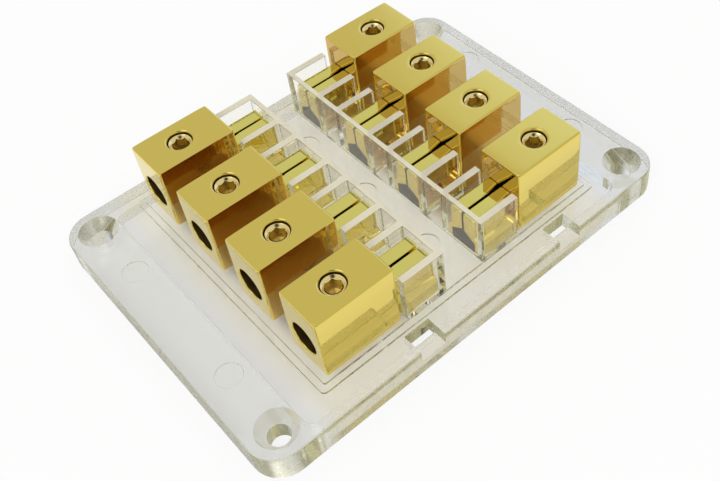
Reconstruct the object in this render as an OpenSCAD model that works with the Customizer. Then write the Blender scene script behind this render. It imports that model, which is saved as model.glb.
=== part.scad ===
// Fuse block for large blade fuses: a clear moulded base with two rows of gold-finished terminals.
// Each fuse bridges the channel between the rows, with one blade in each terminal's jaws.
// +X points from the left row to the right row, +Y along the rows, +Z up from the base's underside.

/* [Layout] */
// Number of fuses side by side
ways = 4; // [1:1:7]
// Distance from one fuse to the next
way_pitch = 16.5; // [15.5:0.1:24]
// Distance between the middles of a fuse's two blades
blade_spacing = 21.25; // [20:0.05:30]

/* [Terminal blocks] */
// Length of a block, along the wire
block_length = 17.4; // [16.5:0.1:24]
// Width of a block, along the row
block_width = 10.7; // [9.5:0.1:13]
// Height of a block above its seat
block_height = 15.5; // [14:0.1:20]
// Rounding of a block's edges
block_edge = 0.45; // [0.2:0.05:0.9]
// Diameter of the bore that takes the wire
wire_bore = 6.8; // [5:0.1:7.6]
// Height of the wire bore's axis above the seat
wire_bore_height = 6.65; // [5.5:0.05:7.5]
// Depth of the wire bore, up to its drill point
wire_bore_depth = 10.8; // [9:0.1:12]
// Chamfer at the wire bore's mouth
wire_bore_chamfer = 0.35; // [0.1:0.05:0.6]

/* [Jaws] */
// Length of the jaws, along the blade
jaw_length = 9.45; // [8:0.05:11]
// Width of a pair of jaws
jaw_width = 6.4; // [5:0.1:7.5]
// Height of the jaws' top above the seat
jaw_top = 9.25; // [8:0.05:11]
// Width of the slit, which a blade springs open
blade_slit = 0.5; // [0.4:0.05:1]
// Rounding of the jaws' upper edges, which leads the blade in
jaw_edge = 0.4; // [0.1:0.05:0.6]
// Height of the foot's shoulders above the support's eaves
foot_shoulder = 0.8; // [0.5:0.1:1.5]
// Room between the foot's sides and the ribs, which keep the terminal from turning
foot_gap = 0.15; // [0.05:0.05:0.2]

/* [Jaw supports] */
// Height of a support's side walls
support_eaves = 2.6; // [1.5:0.1:3.5]
// Height of a support's ridge, under the slit
support_ridge = 4.5; // [3.8:0.1:6]
// Room between a support and the jaws and foot that straddle it
support_gap = 0.05; // [0.02:0.01:0.2]
// Room between a support's ends and what stands beside them
support_end_gap = 0.15; // [0.05:0.05:0.3]
// Width of the slot that takes a blade's tip
tip_slot = 1.1; // [1:0.05:1.6]
// Thickness of a support under that slot, and at the slot's closed end
tip_floor = 0.6; // [0.4:0.1:0.8]
// Diameter of the peg under a support
peg_diameter = 2.4; // [1.6:0.1:3.5]
// Length of that peg
peg_length = 2; // [1:0.1:3]

/* [Set screws] */
// Diameter of a set screw, drawn at the core of its thread
set_screw_diameter = 5; // [4.6:0.1:5.4]
// Length of a set screw
set_screw_length = 5; // [4:0.1:6]
// Distance from a set screw's axis to the block's outer face
set_screw_setback = 8; // [6:0.1:9]
// Depth of a set screw's top below the block's top
set_screw_depth = 0.4; // [0:0.05:1]
// Chamfer round a set screw's top and tip
set_screw_chamfer = 0.3; // [0.2:0.05:0.4]
// Distance across the flats of a set screw's hexagon socket
socket_flats = 3; // [2.4:0.1:3.1]
// Depth of that socket
socket_depth = 2.6; // [1.5:0.1:3.2]
// How far the socket's conical lead-in reaches inside its flats
socket_lead_in = 0.1; // [0.05:0.01:0.2]
// Width of the flat ring round that lead-in
socket_rim = 0.15; // [0.05:0.05:0.25]
// Chamfer round the mouth of a set screw's hole
screw_mouth_chamfer = 0.3; // [0.1:0.05:0.5]

/* [Fixing screws] */
// Diameter of a fixing screw's shank
fixing_diameter = 3; // [2.5:0.1:3.6]
// Length of a fixing screw under its head
fixing_length = 9.8; // [8:0.1:10.5]
// Diameter of a fixing screw's head
fixing_head_diameter = 5.6; // [5:0.1:7]
// Height of a fixing screw's head
fixing_head_height = 2.2; // [1.6:0.1:2.6]
// Rounding of the head's edge
fixing_head_edge = 1.1; // [0.5:0.1:1.4]
// Length of each slot of the head's cross recess
cross_length = 3; // [2:0.1:3.6]
// Width of each slot of the cross recess
cross_width = 0.8; // [0.5:0.1:1.1]
// Depth of the cross recess
cross_depth = 1.2; // [0.8:0.1:1.4]
// Distance from a fixing screw's axis to the block's inner face
fixing_setback = 2.9; // [2.4:0.1:3.5]
// Depth of the hole in the block beyond the screw's tip
fixing_hole_spare = 0.5; // [0.2:0.1:1]

/* [Base plate] */
// Thickness of the plate
plate_thickness = 6.5; // [5.5:0.1:9]
// Width of the plate beside the platform, at the wires' side
side_border = 15.75; // [13:0.05:25]
// Width of the plate beyond the platform, at the rows' ends
end_border = 5.35; // [4.8:0.05:12]
// Distance of the corner holes from the plate's edges, and the radius of its corners
hole_inset = 6.1; // [5.5:0.1:8]
// Rounding of the plate's upper edge
plate_edge = 0.5; // [0.2:0.1:1]
// Diameter of the corner screw holes
corner_hole = 4.4; // [3.5:0.1:5]
// Diameter of their countersinks at the top
countersink = 8.2; // [6.5:0.1:9]
// Depth of their countersinks
countersink_depth = 2.5; // [1.5:0.1:3]
// Depth of the hollow in the underside
hollow_depth = 2.9; // [2.7:0.1:3.2]
// Width of the solid band round the hollow, beside a countersink
hollow_margin = 0.5; // [0.2:0.1:2]
// Radius of the hollow's corners
hollow_corner = 2; // [0.5:0.1:4]
// Width of the solid rim at the rows' ends
end_rim = 3.25; // [2.5:0.05:4]
// Radius of the moulding pins' marks
pin_mark = 2.7; // [1.5:0.1:3.5]
// Depth of the moulding pins' marks
pin_mark_depth = 0.15; // [0.05:0.05:0.3]
// Distance between the moulding pins' marks along the channel
pin_mark_spacing = 19.6; // [15:0.1:22]

/* [Platform] */
// Height of the platform above the plate
platform_height = 1; // [0.5:0.1:2]
// Width of the platform beyond the blocks' outer faces
platform_side_margin = 2.55; // [1:0.05:5]
// Width of the platform beyond the last pockets
platform_end_margin = 1.35; // [0.8:0.05:4]
// Rounding of the platform's upper edge
platform_edge = 0.4; // [0.1:0.05:0.45]
// Radius of the platform's corners
platform_corner = 1; // [0.6:0.1:3]

/* [Pockets round the jaws] */
// Height of the pockets above the platform
pocket_height = 11.1; // [9:0.1:13]
// Thickness of the wall along the channel
pocket_wall = 1.1; // [0.8:0.05:1.6]
// Thickness of the ribs on both sides of the jaws
pocket_rib = 1.6; // [1:0.05:2]
// Rounding of the ribs' free ends
rib_edge = 0.3; // [0.1:0.05:0.5]
// Room between the jaws' tips and the wall
jaw_tip_gap = 0.1; // [0.05:0.05:0.5]
// Room between the jaws' sides and the ribs
jaw_side_gap = 1.1; // [0.4:0.05:1.4]
// Room between the ribs' free ends and the blocks
rib_gap = 0.95; // [0.3:0.05:2]

/* [Slots for the cover's clips] */
// Length of a slot
clip_length = 5.9; // [4:0.1:8]
// Distance of the near slot's middle from the plate's middle
clip_near = 14.15; // [10:0.05:18]
// Distance of the far slot's middle from the plate's middle, on the other side
clip_far = 22.4; // [18:0.1:28]
// Height of the lip that a clip hooks under
clip_lip = 3.7; // [3.4:0.1:4.5]
// Room between a slot and the platform
clip_gap = 0.5; // [0.2:0.05:1]

/* [Fits] */
// Radial clearance of a screw in its threaded hole
thread_clearance = 0.05; // [0.02:0.01:0.1]
// Radial clearance of a fixing screw in the base
fixing_clearance = 0.2; // [0.1:0.05:0.4]
// Radial clearance of a support's peg in the base
peg_clearance = 0.05; // [0.02:0.01:0.1]

/* [Hidden] */
$fn = 64;
// How far a cutting shape runs past the face that it cuts
past = 1;
// How deep a joined shape starts inside its neighbour
join = 0.5;
// Included angle of a drill's point
drill_angle = 118;

// Places across the rows, from the channel's middle
block_in = (blade_spacing + jaw_length) / 2;
block_out = block_in + block_length;
jaw_tip = block_in - jaw_length;
wall_in = jaw_tip - jaw_tip_gap;
wall_out = wall_in - pocket_wall;
rib_end = block_in - rib_gap;
screw_x = block_out - set_screw_setback;
fixing_x = block_in + fixing_setback;
peg_x = blade_spacing / 2;

// Sizes along the rows
pocket_inner = jaw_width + 2 * jaw_side_gap;
pocket_outer = pocket_inner + 2 * pocket_rib;
row_length = (ways - 1) * way_pitch + pocket_outer;

// Sizes of the base
platform_x = 2 * (block_out + platform_side_margin);
platform_y = row_length + 2 * platform_end_margin;
plate_x = platform_x + 2 * side_border;
plate_y = platform_y + 2 * end_border;
hole_x = plate_x / 2 - hole_inset;
hole_y = plate_y / 2 - hole_inset;
hollow_x = plate_x - 2 * (hole_inset + countersink / 2 + hollow_margin);
hollow_y = plate_y - 2 * end_rim;
seat_z = plate_thickness + platform_height;

// Depth of the fixing screw in the block
fixing_grip = fixing_length - (seat_z - hollow_depth);

gold = [0.82, 0.69, 0.31];
clear_plastic = [0.84, 0.86, 0.82, 0.45];
dark_plastic = [0.27, 0.26, 0.25];
screw_steel = [0.72, 0.66, 0.45];
plain_steel = [0.66, 0.67, 0.68];

SIDES = ["left", "right"];
PIECES = ["terminal", "jaw_support", "set_screw", "fixing_screw"];

function way_y(way) = (way - (ways + 1) / 2) * way_pitch;

// Puts a piece of the right-hand row at its way, turned round for the left-hand row
module at_way(side, way) {
    translate([0, way_y(way), seat_z])
        rotate([0, 0, side == "left" ? 180 : 0])
            children();
}

// Rectangle about the origin with round corners
module round_rectangle(size_x, size_y, radius) {
    square([size_x - 2 * radius, size_y], center = true);
    square([size_x, size_y - 2 * radius], center = true);
    for (sx = [-1, 1], sy = [-1, 1])
        translate([sx * (size_x / 2 - radius), sy * (size_y / 2 - radius)])
            circle(radius);
}

// Bar standing on z = 0 with all its edges rounded
module round_bar(length, width, height, radius) {
    intersection() {
        linear_extrude(height)
            round_rectangle(length, width, radius);
        translate([0, 0, height / 2])
            rotate([90, 0, 0])
                linear_extrude(width, center = true)
                    round_rectangle(length, height, radius);
        translate([0, 0, height / 2])
            rotate([90, 0, 90])
                linear_extrude(length, center = true)
                    round_rectangle(width, height, radius);
    }
}

// Half of a slab's upright section, with a round upper edge
module slab_section(half_width, height, edge) {
    square([half_width - edge, height]);
    square([half_width, height - edge]);
    translate([half_width - edge, height - edge])
        circle(edge);
}

// Slab standing on z = 0 with round corners and a round upper edge
module slab(size_x, size_y, height, corner, edge) {
    rotate([90, 0, 0])
        linear_extrude(size_y - 2 * corner, center = true)
            for (side = [0, 1])
                mirror([side, 0])
                    slab_section(size_x / 2, height, edge);
    rotate([90, 0, 90])
        linear_extrude(size_x - 2 * corner, center = true)
            for (side = [0, 1])
                mirror([side, 0])
                    slab_section(size_y / 2, height, edge);
    for (sx = [-1, 1], sy = [-1, 1])
        translate([sx * (size_x / 2 - corner), sy * (size_y / 2 - corner), 0])
            rotate_extrude()
                slab_section(corner, height, edge);
}

// Extrudes an upright section, drawn with Y as its width and Z as its height, from x0 to x1
module along_x(x0, x1) {
    translate([x0, 0, 0])
        rotate([90, 0, 90])
            linear_extrude(x1 - x0)
                children();
}

// Section of the jaw on one side of the slit, with the side of the foot that carries it
module jaw_section() {
    slit_side = blade_slit / 2;
    outer_side = jaw_width / 2;
    foot_side = pocket_inner / 2 - foot_gap;
    foot_top = support_eaves + foot_shoulder;
    slope = (support_ridge - support_eaves) / outer_side;
    polygon([
        [slit_side, support_ridge - slope * slit_side],
        [outer_side, support_eaves],
        [outer_side, 0],
        [foot_side, 0],
        [foot_side, foot_top],
        [outer_side, foot_top + foot_side - outer_side],
        [outer_side, jaw_top - jaw_edge],
        [slit_side, jaw_top - jaw_edge],
    ]);
    translate([slit_side + jaw_edge, jaw_top - 2 * jaw_edge])
        square([outer_side - slit_side - 2 * jaw_edge, 2 * jaw_edge]);
    for (y = [slit_side + jaw_edge, outer_side - jaw_edge])
        translate([y, jaw_top - jaw_edge])
            circle(jaw_edge);
}

// Blind bore for the wire, with its chamfered mouth and drill point
module wire_bore_cut() {
    radius = wire_bore / 2;
    point = radius / tan(drill_angle / 2);
    translate([block_out, 0, wire_bore_height])
        rotate([0, -90, 0]) {
            translate([0, 0, -past])
                cylinder(h = wire_bore_depth + past, r = radius);
            translate([0, 0, wire_bore_depth])
                cylinder(h = point, r1 = radius, r2 = 0);
            cylinder(h = wire_bore_chamfer, r1 = radius + wire_bore_chamfer, r2 = radius);
        }
}

// Threaded hole for the set screw, from the block's top into the wire bore
module set_screw_cut() {
    radius = set_screw_diameter / 2 + thread_clearance;
    translate([screw_x, 0, wire_bore_height])
        cylinder(h = block_height - wire_bore_height + past, r = radius);
    translate([screw_x, 0, block_height - screw_mouth_chamfer])
        cylinder(h = screw_mouth_chamfer, r1 = radius, r2 = radius + screw_mouth_chamfer);
}

// Terminal of the right-hand row: the block and its jaws, seated on z = 0
module terminal() {
    color(gold)
        difference() {
            union() {
                translate([(block_in + block_out) / 2, 0, 0])
                    round_bar(block_length, block_width, block_height, block_edge);
                along_x(jaw_tip, block_in + join)
                    for (side = [0, 1])
                        mirror([side, 0])
                            jaw_section();
            }
            wire_bore_cut();
            set_screw_cut();
            translate([fixing_x, 0, -past])
                cylinder(
                    h = fixing_grip + fixing_hole_spare + past,
                    r = fixing_diameter / 2 + thread_clearance
                );
        }
}

// Support under the jaws: it fills the foot's hollow, and its slot takes the blade's tip
module jaw_support() {
    start = wall_in + support_end_gap;
    end = block_in - support_end_gap;
    half = jaw_width / 2 - support_gap;
    color(dark_plastic) {
        difference() {
            along_x(start, end)
                polygon([
                    [-half, 0],
                    [half, 0],
                    [half, support_eaves - support_gap],
                    [0, support_ridge - support_gap],
                    [-half, support_eaves - support_gap],
                ]);
            translate([start + tip_floor, -tip_slot / 2, tip_floor])
                cube([block_in - start, tip_slot, support_ridge]);
        }
        translate([peg_x, 0, -peg_length])
            cylinder(h = peg_length + join, d = peg_diameter);
    }
}

// Set screw at its highest place, clear of the wire bore
module set_screw() {
    radius = set_screw_diameter / 2;
    top = block_height - set_screw_depth;
    socket_radius = socket_flats / sqrt(3);
    lead_outer = radius - set_screw_chamfer - socket_rim;
    lead_inner = socket_flats / 2 - socket_lead_in;
    color(screw_steel)
        translate([screw_x, 0, top - set_screw_length])
            difference() {
                rotate_extrude()
                    polygon([
                        [0, 0],
                        [radius - set_screw_chamfer, 0],
                        [radius, set_screw_chamfer],
                        [radius, set_screw_length - set_screw_chamfer],
                        [radius - set_screw_chamfer, set_screw_length],
                        [0, set_screw_length],
                    ]);
                translate([0, 0, set_screw_length - socket_depth])
                    cylinder(h = socket_depth + past, r = socket_radius, $fn = 6);
                translate([0, 0, set_screw_length + lead_inner - lead_outer])
                    cylinder(h = lead_outer - lead_inner, r1 = lead_inner, r2 = lead_outer);
            }
}

// Fixing screw: its pan head lies in the hollow, and its shank runs up into the block
module fixing_screw() {
    head_radius = fixing_head_diameter / 2;
    under_head = hollow_depth - seat_z;
    color(plain_steel)
        translate([fixing_x, 0, under_head]) {
            difference() {
                translate([0, 0, -fixing_head_height])
                    rotate_extrude() {
                        square([head_radius - fixing_head_edge, fixing_head_height]);
                        translate([0, fixing_head_edge])
                            square([head_radius, fixing_head_height - fixing_head_edge]);
                        intersection() {
                            translate([head_radius - fixing_head_edge, fixing_head_edge])
                                circle(fixing_head_edge);
                            square([head_radius, fixing_head_height]);
                        }
                    }
                for (turn = [0, 90])
                    rotate([0, 0, turn])
                        translate([-cross_length / 2, -cross_width / 2, -fixing_head_height - past])
                            cube([cross_length, cross_width, cross_depth + past]);
            }
            translate([0, 0, -join])
                cylinder(h = fixing_length + join, d = fixing_diameter);
        }
}

// Pockets round the jaws of the right-hand row: one wall along the channel and a pair of ribs per way
module pocket_row() {
    translate([wall_out, -row_length / 2, seat_z - join])
        cube([pocket_wall, row_length, pocket_height + join]);
    for (way = [1:ways], side = [-1, 1])
        translate([
            (wall_out + rib_end) / 2,
            way_y(way) + side * (pocket_inner + pocket_rib) / 2,
            seat_z - join
        ])
            linear_extrude(pocket_height + join)
                round_rectangle(rib_end - wall_out, pocket_rib, rib_edge);
}

// Corner screw hole with its countersink
module corner_hole_cut() {
    translate([0, 0, -past])
        cylinder(h = plate_thickness + 2 * past, d = corner_hole);
    translate([0, 0, plate_thickness - countersink_depth])
        cylinder(h = countersink_depth, d1 = corner_hole, d2 = countersink);
}

// Slot for one of the cover's clips, in the front end of the plate: a way through and a lowered lip
module clip_cut(middle_x) {
    slot_y = -platform_y / 2 - clip_gap;
    rim_y = -hollow_y / 2;
    translate([middle_x - clip_length / 2, rim_y, -past])
        cube([clip_length, slot_y - rim_y, plate_thickness + 2 * past]);
    translate([middle_x - clip_length / 2, -plate_y / 2 - past, clip_lip])
        cube([clip_length, plate_y / 2 + past + slot_y, plate_thickness]);
}

// Shallow round marks that the mould's pins leave
module pin_marks() {
    for (side = [-1, 1], end = [-1, 1])
        translate([side * hole_x, end * way_pitch, plate_thickness - pin_mark_depth])
            cylinder(h = pin_mark_depth + past, r = pin_mark);
    for (place = [-1:1])
        translate([0, place * pin_mark_spacing, seat_z - pin_mark_depth])
            cylinder(h = pin_mark_depth + past, r = pin_mark);
}

// Clear base: plate, platform and pockets in one moulding
module base() {
    color(clear_plastic)
        difference() {
            union() {
                slab(plate_x, plate_y, plate_thickness, hole_inset, plate_edge);
                translate([0, 0, plate_thickness - join])
                    slab(platform_x, platform_y, platform_height + join, platform_corner, platform_edge);
                for (turn = [0, 180])
                    rotate([0, 0, turn])
                        pocket_row();
            }
            translate([0, 0, -past])
                linear_extrude(hollow_depth + past)
                    round_rectangle(hollow_x, hollow_y, hollow_corner);
            for (sx = [-1, 1], sy = [-1, 1])
                translate([sx * hole_x, sy * hole_y, 0])
                    corner_hole_cut();
            for (turn = [0, 180])
                rotate([0, 0, turn]) {
                    clip_cut(-clip_near);
                    clip_cut(clip_far);
                }
            for (side = SIDES, way = [1:ways])
                at_way(side, way) {
                    translate([fixing_x, 0, -seat_z])
                        cylinder(h = seat_z + past, r = fixing_diameter / 2 + fixing_clearance);
                    translate([peg_x, 0, -peg_length - peg_clearance])
                        cylinder(h = peg_length + peg_clearance + past, r = peg_diameter / 2 + peg_clearance);
                }
            pin_marks();
        }
}

base();
for (side = SIDES, way = [1:ways]) {
    at_way(side, way) terminal();
    at_way(side, way) jaw_support();
    at_way(side, way) set_screw();
    at_way(side, way) fixing_screw();
}
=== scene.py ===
# %% [markdown]
# # A fuse block in clear plastic and polished gold
# Two rows of gold-finished terminals stand on a clear moulded base, and each opposite pair grips one fuse.
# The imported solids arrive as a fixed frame. Everything below dresses that frame and never moves it, so the
# same script also works when a set screw is turned down. A maker thinks of such a part in millimetres, so
# sizes are written in millimetres here and turned into Blender's metres by one factor.

# %% Load the frame
from math import atan2, cos, pi, radians, sin, sqrt, tan

import bmesh
import bpy
from mathutils import Matrix, Vector


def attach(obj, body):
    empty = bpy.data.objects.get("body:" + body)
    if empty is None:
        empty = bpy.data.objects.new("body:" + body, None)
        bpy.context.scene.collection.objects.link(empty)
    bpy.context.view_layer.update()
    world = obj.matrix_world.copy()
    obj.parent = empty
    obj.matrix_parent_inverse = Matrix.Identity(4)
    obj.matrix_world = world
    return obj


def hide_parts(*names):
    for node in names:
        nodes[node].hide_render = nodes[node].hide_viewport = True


MM = 0.001
scene = bpy.context.scene
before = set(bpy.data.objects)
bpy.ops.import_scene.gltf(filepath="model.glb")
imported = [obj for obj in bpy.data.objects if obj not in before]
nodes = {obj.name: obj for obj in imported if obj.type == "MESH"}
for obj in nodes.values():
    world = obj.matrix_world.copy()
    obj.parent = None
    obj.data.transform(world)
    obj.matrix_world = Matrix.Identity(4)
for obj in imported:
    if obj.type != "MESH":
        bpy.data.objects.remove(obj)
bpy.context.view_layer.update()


# %% [markdown]
# ## Camera
# The picture is taken from the front left, about 48 degrees above the table. A constraint that aims the
# camera would be quicker to write, but it can't hold the slight roll, so the camera's matrix is built from
# its three directions. The picture's optical centre lies off its middle, as in a cropped picture, and a
# shift of the lens gives the same framing.

# %% Camera
IMAGE_WIDTH = 720
IMAGE_HEIGHT = 481
FOCAL_PIXELS = 969.23
OPTICAL_CENTRE = (463.29, 198.0)
SENSOR_WIDTH = 36.0
CLIP_START = 10
CAMERA_PLACE = Vector((-72.93, -117.27, 155.53)) * MM
CAMERA_RIGHT = Vector((0.73041, -0.68178, -0.04105))
CAMERA_DOWN = Vector((-0.52762, -0.52504, -0.66779))
CAMERA_AHEAD = Vector((0.43374, 0.50942, -0.74321))

camera_data = bpy.data.cameras.new("camera")
camera_data.sensor_width = SENSOR_WIDTH
camera_data.lens = FOCAL_PIXELS * SENSOR_WIDTH / IMAGE_WIDTH
camera_data.shift_x = (IMAGE_WIDTH / 2 - OPTICAL_CENTRE[0]) / IMAGE_WIDTH
camera_data.shift_y = (OPTICAL_CENTRE[1] - IMAGE_HEIGHT / 2) / IMAGE_WIDTH
camera_data.clip_start = CLIP_START * MM
camera = bpy.data.objects.new("camera", camera_data)
scene.collection.objects.link(camera)
turn = Matrix((CAMERA_RIGHT, -CAMERA_DOWN, -CAMERA_AHEAD)).transposed()
camera.matrix_world = Matrix.Translation(CAMERA_PLACE) @ turn.to_4x4()
scene.camera = camera
print("lens in mm:", round(camera_data.lens, 2))

# %% [markdown]
# ## Floor
# Clear plastic and polished metal show their surroundings, so the surroundings are most of the look. The
# floor is a sheet of white paper a hair under the base, because two faces in one plane would flicker. Strong
# lamps could make it white, but they would wash out the gold. So part of its white is its own, and it shows
# only to rays from the camera, off a mirror or through clear plastic: the paper stays white behind the block
# and still keeps a faint shadow.

# %% White paper
PAPER_HALF = 2500
PAPER_GAP = 0.1

corner_signs = ((-1, -1), (1, -1), (1, 1), (-1, 1))
paper_mesh = bpy.data.meshes.new("paper")
paper_corners = [(sx * PAPER_HALF * MM, sy * PAPER_HALF * MM, -PAPER_GAP * MM) for sx, sy in corner_signs]
paper_mesh.from_pydata(paper_corners, [], [(0, 1, 2, 3)])
paper = bpy.data.objects.new("paper", paper_mesh)
scene.collection.objects.link(paper)
print("paper in m:", [round(side, 2) for side in paper.dimensions])


# %% Nodes that reckon, fade and blend
def add_math(tree, operation, first, second=None):
    """Math node on one or two values, each an output of a node or a number; returns its output."""
    node = tree.nodes.new("ShaderNodeMath")
    node.operation = operation
    for socket, value in zip(node.inputs, (first, second)):
        if isinstance(value, (int, float)):
            socket.default_value = value
        elif value is not None:
            tree.links.new(value, socket)
    return node.outputs[0]


def add_fade(tree, value, start, end, at_start, at_end):
    """Smooth change from one number to another while a value runs from start to end; returns its output."""
    node = tree.nodes.new("ShaderNodeMapRange")
    node.interpolation_type = "SMOOTHSTEP"
    tree.links.new(value, node.inputs["Value"])
    node.inputs["From Min"].default_value = start
    node.inputs["From Max"].default_value = end
    node.inputs["To Min"].default_value = at_start
    node.inputs["To Max"].default_value = at_end
    return node.outputs["Result"]


def add_mix(tree, share, first, second):
    """Blend of two colours, each an output of a node or four numbers; returns its output."""
    node = tree.nodes.new("ShaderNodeMix")
    node.data_type = "RGBA"
    factor, colour_a, colour_b = node.inputs[0], node.inputs[6], node.inputs[7]
    tree.links.new(share, factor)
    for socket, value in ((colour_a, first), (colour_b, second)):
        if isinstance(value, tuple):
            socket.default_value = value
        else:
            tree.links.new(value, socket)
    return node.outputs[2]


# %% [markdown]
# ## Painted shade and light under the part
# Seen through the base, the paper isn't evenly white: hardly any light gets down between the blocks, and
# what does has come off the gold. So that shade and that warm light are painted onto the paper by place.
# A painted picture could hold them, but a few smooth steps are easier to change. Each step is measured
# from the paper's middle and runs over a span in millimetres.

# %% Distances over the paper
paper_finish = bpy.data.materials.new("white_paper")
paper_finish.use_nodes = True
paper_mesh.materials.append(paper_finish)
paper_tree = paper_finish.node_tree
spot = paper_tree.nodes.new("ShaderNodeNewGeometry")
spot_parts = paper_tree.nodes.new("ShaderNodeSeparateXYZ")
paper_tree.links.new(spot.outputs["Position"], spot_parts.inputs[0])
across = add_math(paper_tree, "ABSOLUTE", spot_parts.outputs["X"])
along = add_math(paper_tree, "ABSOLUTE", spot_parts.outputs["Y"])
print("finish of the paper:", paper_finish.name)


def paper_fade(distance, span, at_start, at_end):
    """Smooth change over the paper while a distance from its middle runs over a span."""
    return add_fade(paper_tree, distance, span[0] * MM, span[1] * MM, at_start, at_end)


# %% Share of own white by place
# The shares are lower under the plate and lowest under the rows: this paints the shade that the base and the
# blocks cast on the paper.
OWN_WHITE_OUTSIDE = 0.8
OWN_WHITE_BORDER = 0.5
OWN_WHITE_END = 0.58
OWN_WHITE_CHANNEL = 0.64
OWN_WHITE_ROWS = 0.1
CHANNEL_FADE = (8, 13)
BORDER_FADE = (28, 32)
END_FADE = (24, 28)
SIDE_FADE = (50, 58)
FRONT_FADE = (37, 45)

in_channel = paper_fade(across, CHANNEL_FADE, OWN_WHITE_CHANNEL, OWN_WHITE_ROWS)
beside_rows = paper_fade(across, BORDER_FADE, 0, OWN_WHITE_BORDER)
between_ends = add_math(paper_tree, "MAXIMUM", in_channel, beside_rows)
past_end = paper_fade(along, END_FADE, 0, 1)
before_end = add_math(paper_tree, "SUBTRACT", 1, past_end)
inner_part = add_math(paper_tree, "MULTIPLY", between_ends, before_end)
outer_part = add_math(paper_tree, "MULTIPLY", past_end, OWN_WHITE_END)
under_plate = add_math(paper_tree, "ADD", inner_part, outer_part)
beside_plate = paper_fade(across, SIDE_FADE, 0, OWN_WHITE_OUTSIDE)
before_plate = paper_fade(along, FRONT_FADE, 0, OWN_WHITE_OUTSIDE)
outside = add_math(paper_tree, "MAXIMUM", beside_plate, before_plate)
own_white = add_math(paper_tree, "MAXIMUM", under_plate, outside)
print("nodes for the share of own white:", len(paper_tree.nodes))

# %% Colour by place
# The warm colours paint light that has come off the gold: cream under the platform and orange under the
# rows, where the orange also tints the paper's matt colour.
PAPER_COLOUR = (0.95, 0.95, 0.945, 1)
PLAIN_WHITE = (1.0, 1.0, 1.0, 1)
PLATE_WHITE = (0.961, 0.966, 1.0, 1)
PLATFORM_PAINTED_WARM_LIGHT = (1.0, 0.952, 0.838, 1)
ROWS_PAINTED_GOLD_LIGHT = (1.0, 0.76, 0.5, 1)
ROW_FADE = (26, 30)
PLATFORM_FADE = (34, 40)

paper_path = paper_tree.nodes.new("ShaderNodeLightPath")
seen = paper_path.outputs["Is Camera Ray"]
past_channel = paper_fade(across, CHANNEL_FADE, 0, 1)
before_border = paper_fade(across, ROW_FADE, 1, 0)
in_rows = add_math(paper_tree, "MULTIPLY", past_channel, before_border)
in_rows = add_math(paper_tree, "MULTIPLY", in_rows, before_end)
share_outside = add_math(paper_tree, "DIVIDE", outside, OWN_WHITE_OUTSIDE)
outside_plate = add_math(paper_tree, "MINIMUM", share_outside, 1)
past_platform = paper_fade(across, PLATFORM_FADE, 0, 1)
glow_colour = add_mix(paper_tree, past_platform, PLATFORM_PAINTED_WARM_LIGHT, PLATE_WHITE)
glow_colour = add_mix(paper_tree, outside_plate, glow_colour, PLAIN_WHITE)
glow_colour = add_mix(paper_tree, seen, glow_colour, PLAIN_WHITE)
glow_colour = add_mix(paper_tree, in_rows, glow_colour, ROWS_PAINTED_GOLD_LIGHT)
paper_colour = add_mix(paper_tree, in_rows, PAPER_COLOUR, ROWS_PAINTED_GOLD_LIGHT)
print("whites of the paper:", PLATE_WHITE[:3], PLATFORM_PAINTED_WARM_LIGHT[:3], ROWS_PAINTED_GOLD_LIGHT[:3])

# %% Paper's finish
OWN_WHITE_SEEN = 0.85

matt = paper_tree.nodes["Principled BSDF"]
matt.inputs["Roughness"].default_value = 1
matt.inputs["Specular IOR Level"].default_value = 0
paper_tree.links.new(paper_colour, matt.inputs["Base Color"])
glow = paper_tree.nodes.new("ShaderNodeEmission")
paper_tree.links.new(glow_colour, glow.inputs["Color"])
glossy_ray = paper_path.outputs["Is Glossy Ray"]
mirrored = add_math(paper_tree, "MAXIMUM", glossy_ray, paper_path.outputs["Is Transmission Ray"])
mirrored_share = add_math(paper_tree, "MULTIPLY", mirrored, own_white)
seen_share = add_math(paper_tree, "MULTIPLY", seen, OWN_WHITE_SEEN)
blend = paper_tree.nodes.new("ShaderNodeMixShader")
paper_tree.links.new(add_math(paper_tree, "MAXIMUM", mirrored_share, seen_share), blend.inputs["Fac"])
paper_tree.links.new(matt.outputs[0], blend.inputs[1])
paper_tree.links.new(glow.outputs[0], blend.inputs[2])
paper_tree.links.new(blend.outputs[0], paper_tree.nodes["Material Output"].inputs["Surface"])
print("nodes of the paper's finish:", len(paper_tree.nodes))

# %% [markdown]
# ## Light
# A photographer's light tent lights a polished thing evenly from all sides. A ring of lamps would show as
# hard spots in the gold, so the world itself is the tent, with one soft lamp for the shadow. Three round
# patches break the tent's evenness, as a window, a panel and the dark side behind the camera do in a
# studio. Only mirrors see them, so they shape the reflections and light nothing else.

# %% Light tent
TENT_COLOUR = (0.69, 0.685, 0.68)
COOL_SIDE = {"azimuth": 25, "elevation": 25, "outer": 31, "inner": 21, "colour": (0.84, 0.93, 1.25)}
SKY_PANEL = {"azimuth": 160, "elevation": 62, "outer": 15, "inner": 12, "colour": (1.7, 1.7, 1.7)}
CAMERA_SIDE = {"azimuth": 230, "elevation": 48, "outer": 19, "inner": 13, "colour": (0.04, 0.035, 0.03)}

tent = bpy.data.worlds.new("light_tent")
scene.world = tent
tent.use_nodes = True
tent_tree = tent.node_tree
ray = tent_tree.nodes.new("ShaderNodeTexCoord")
tent_path = tent_tree.nodes.new("ShaderNodeLightPath")


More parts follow.
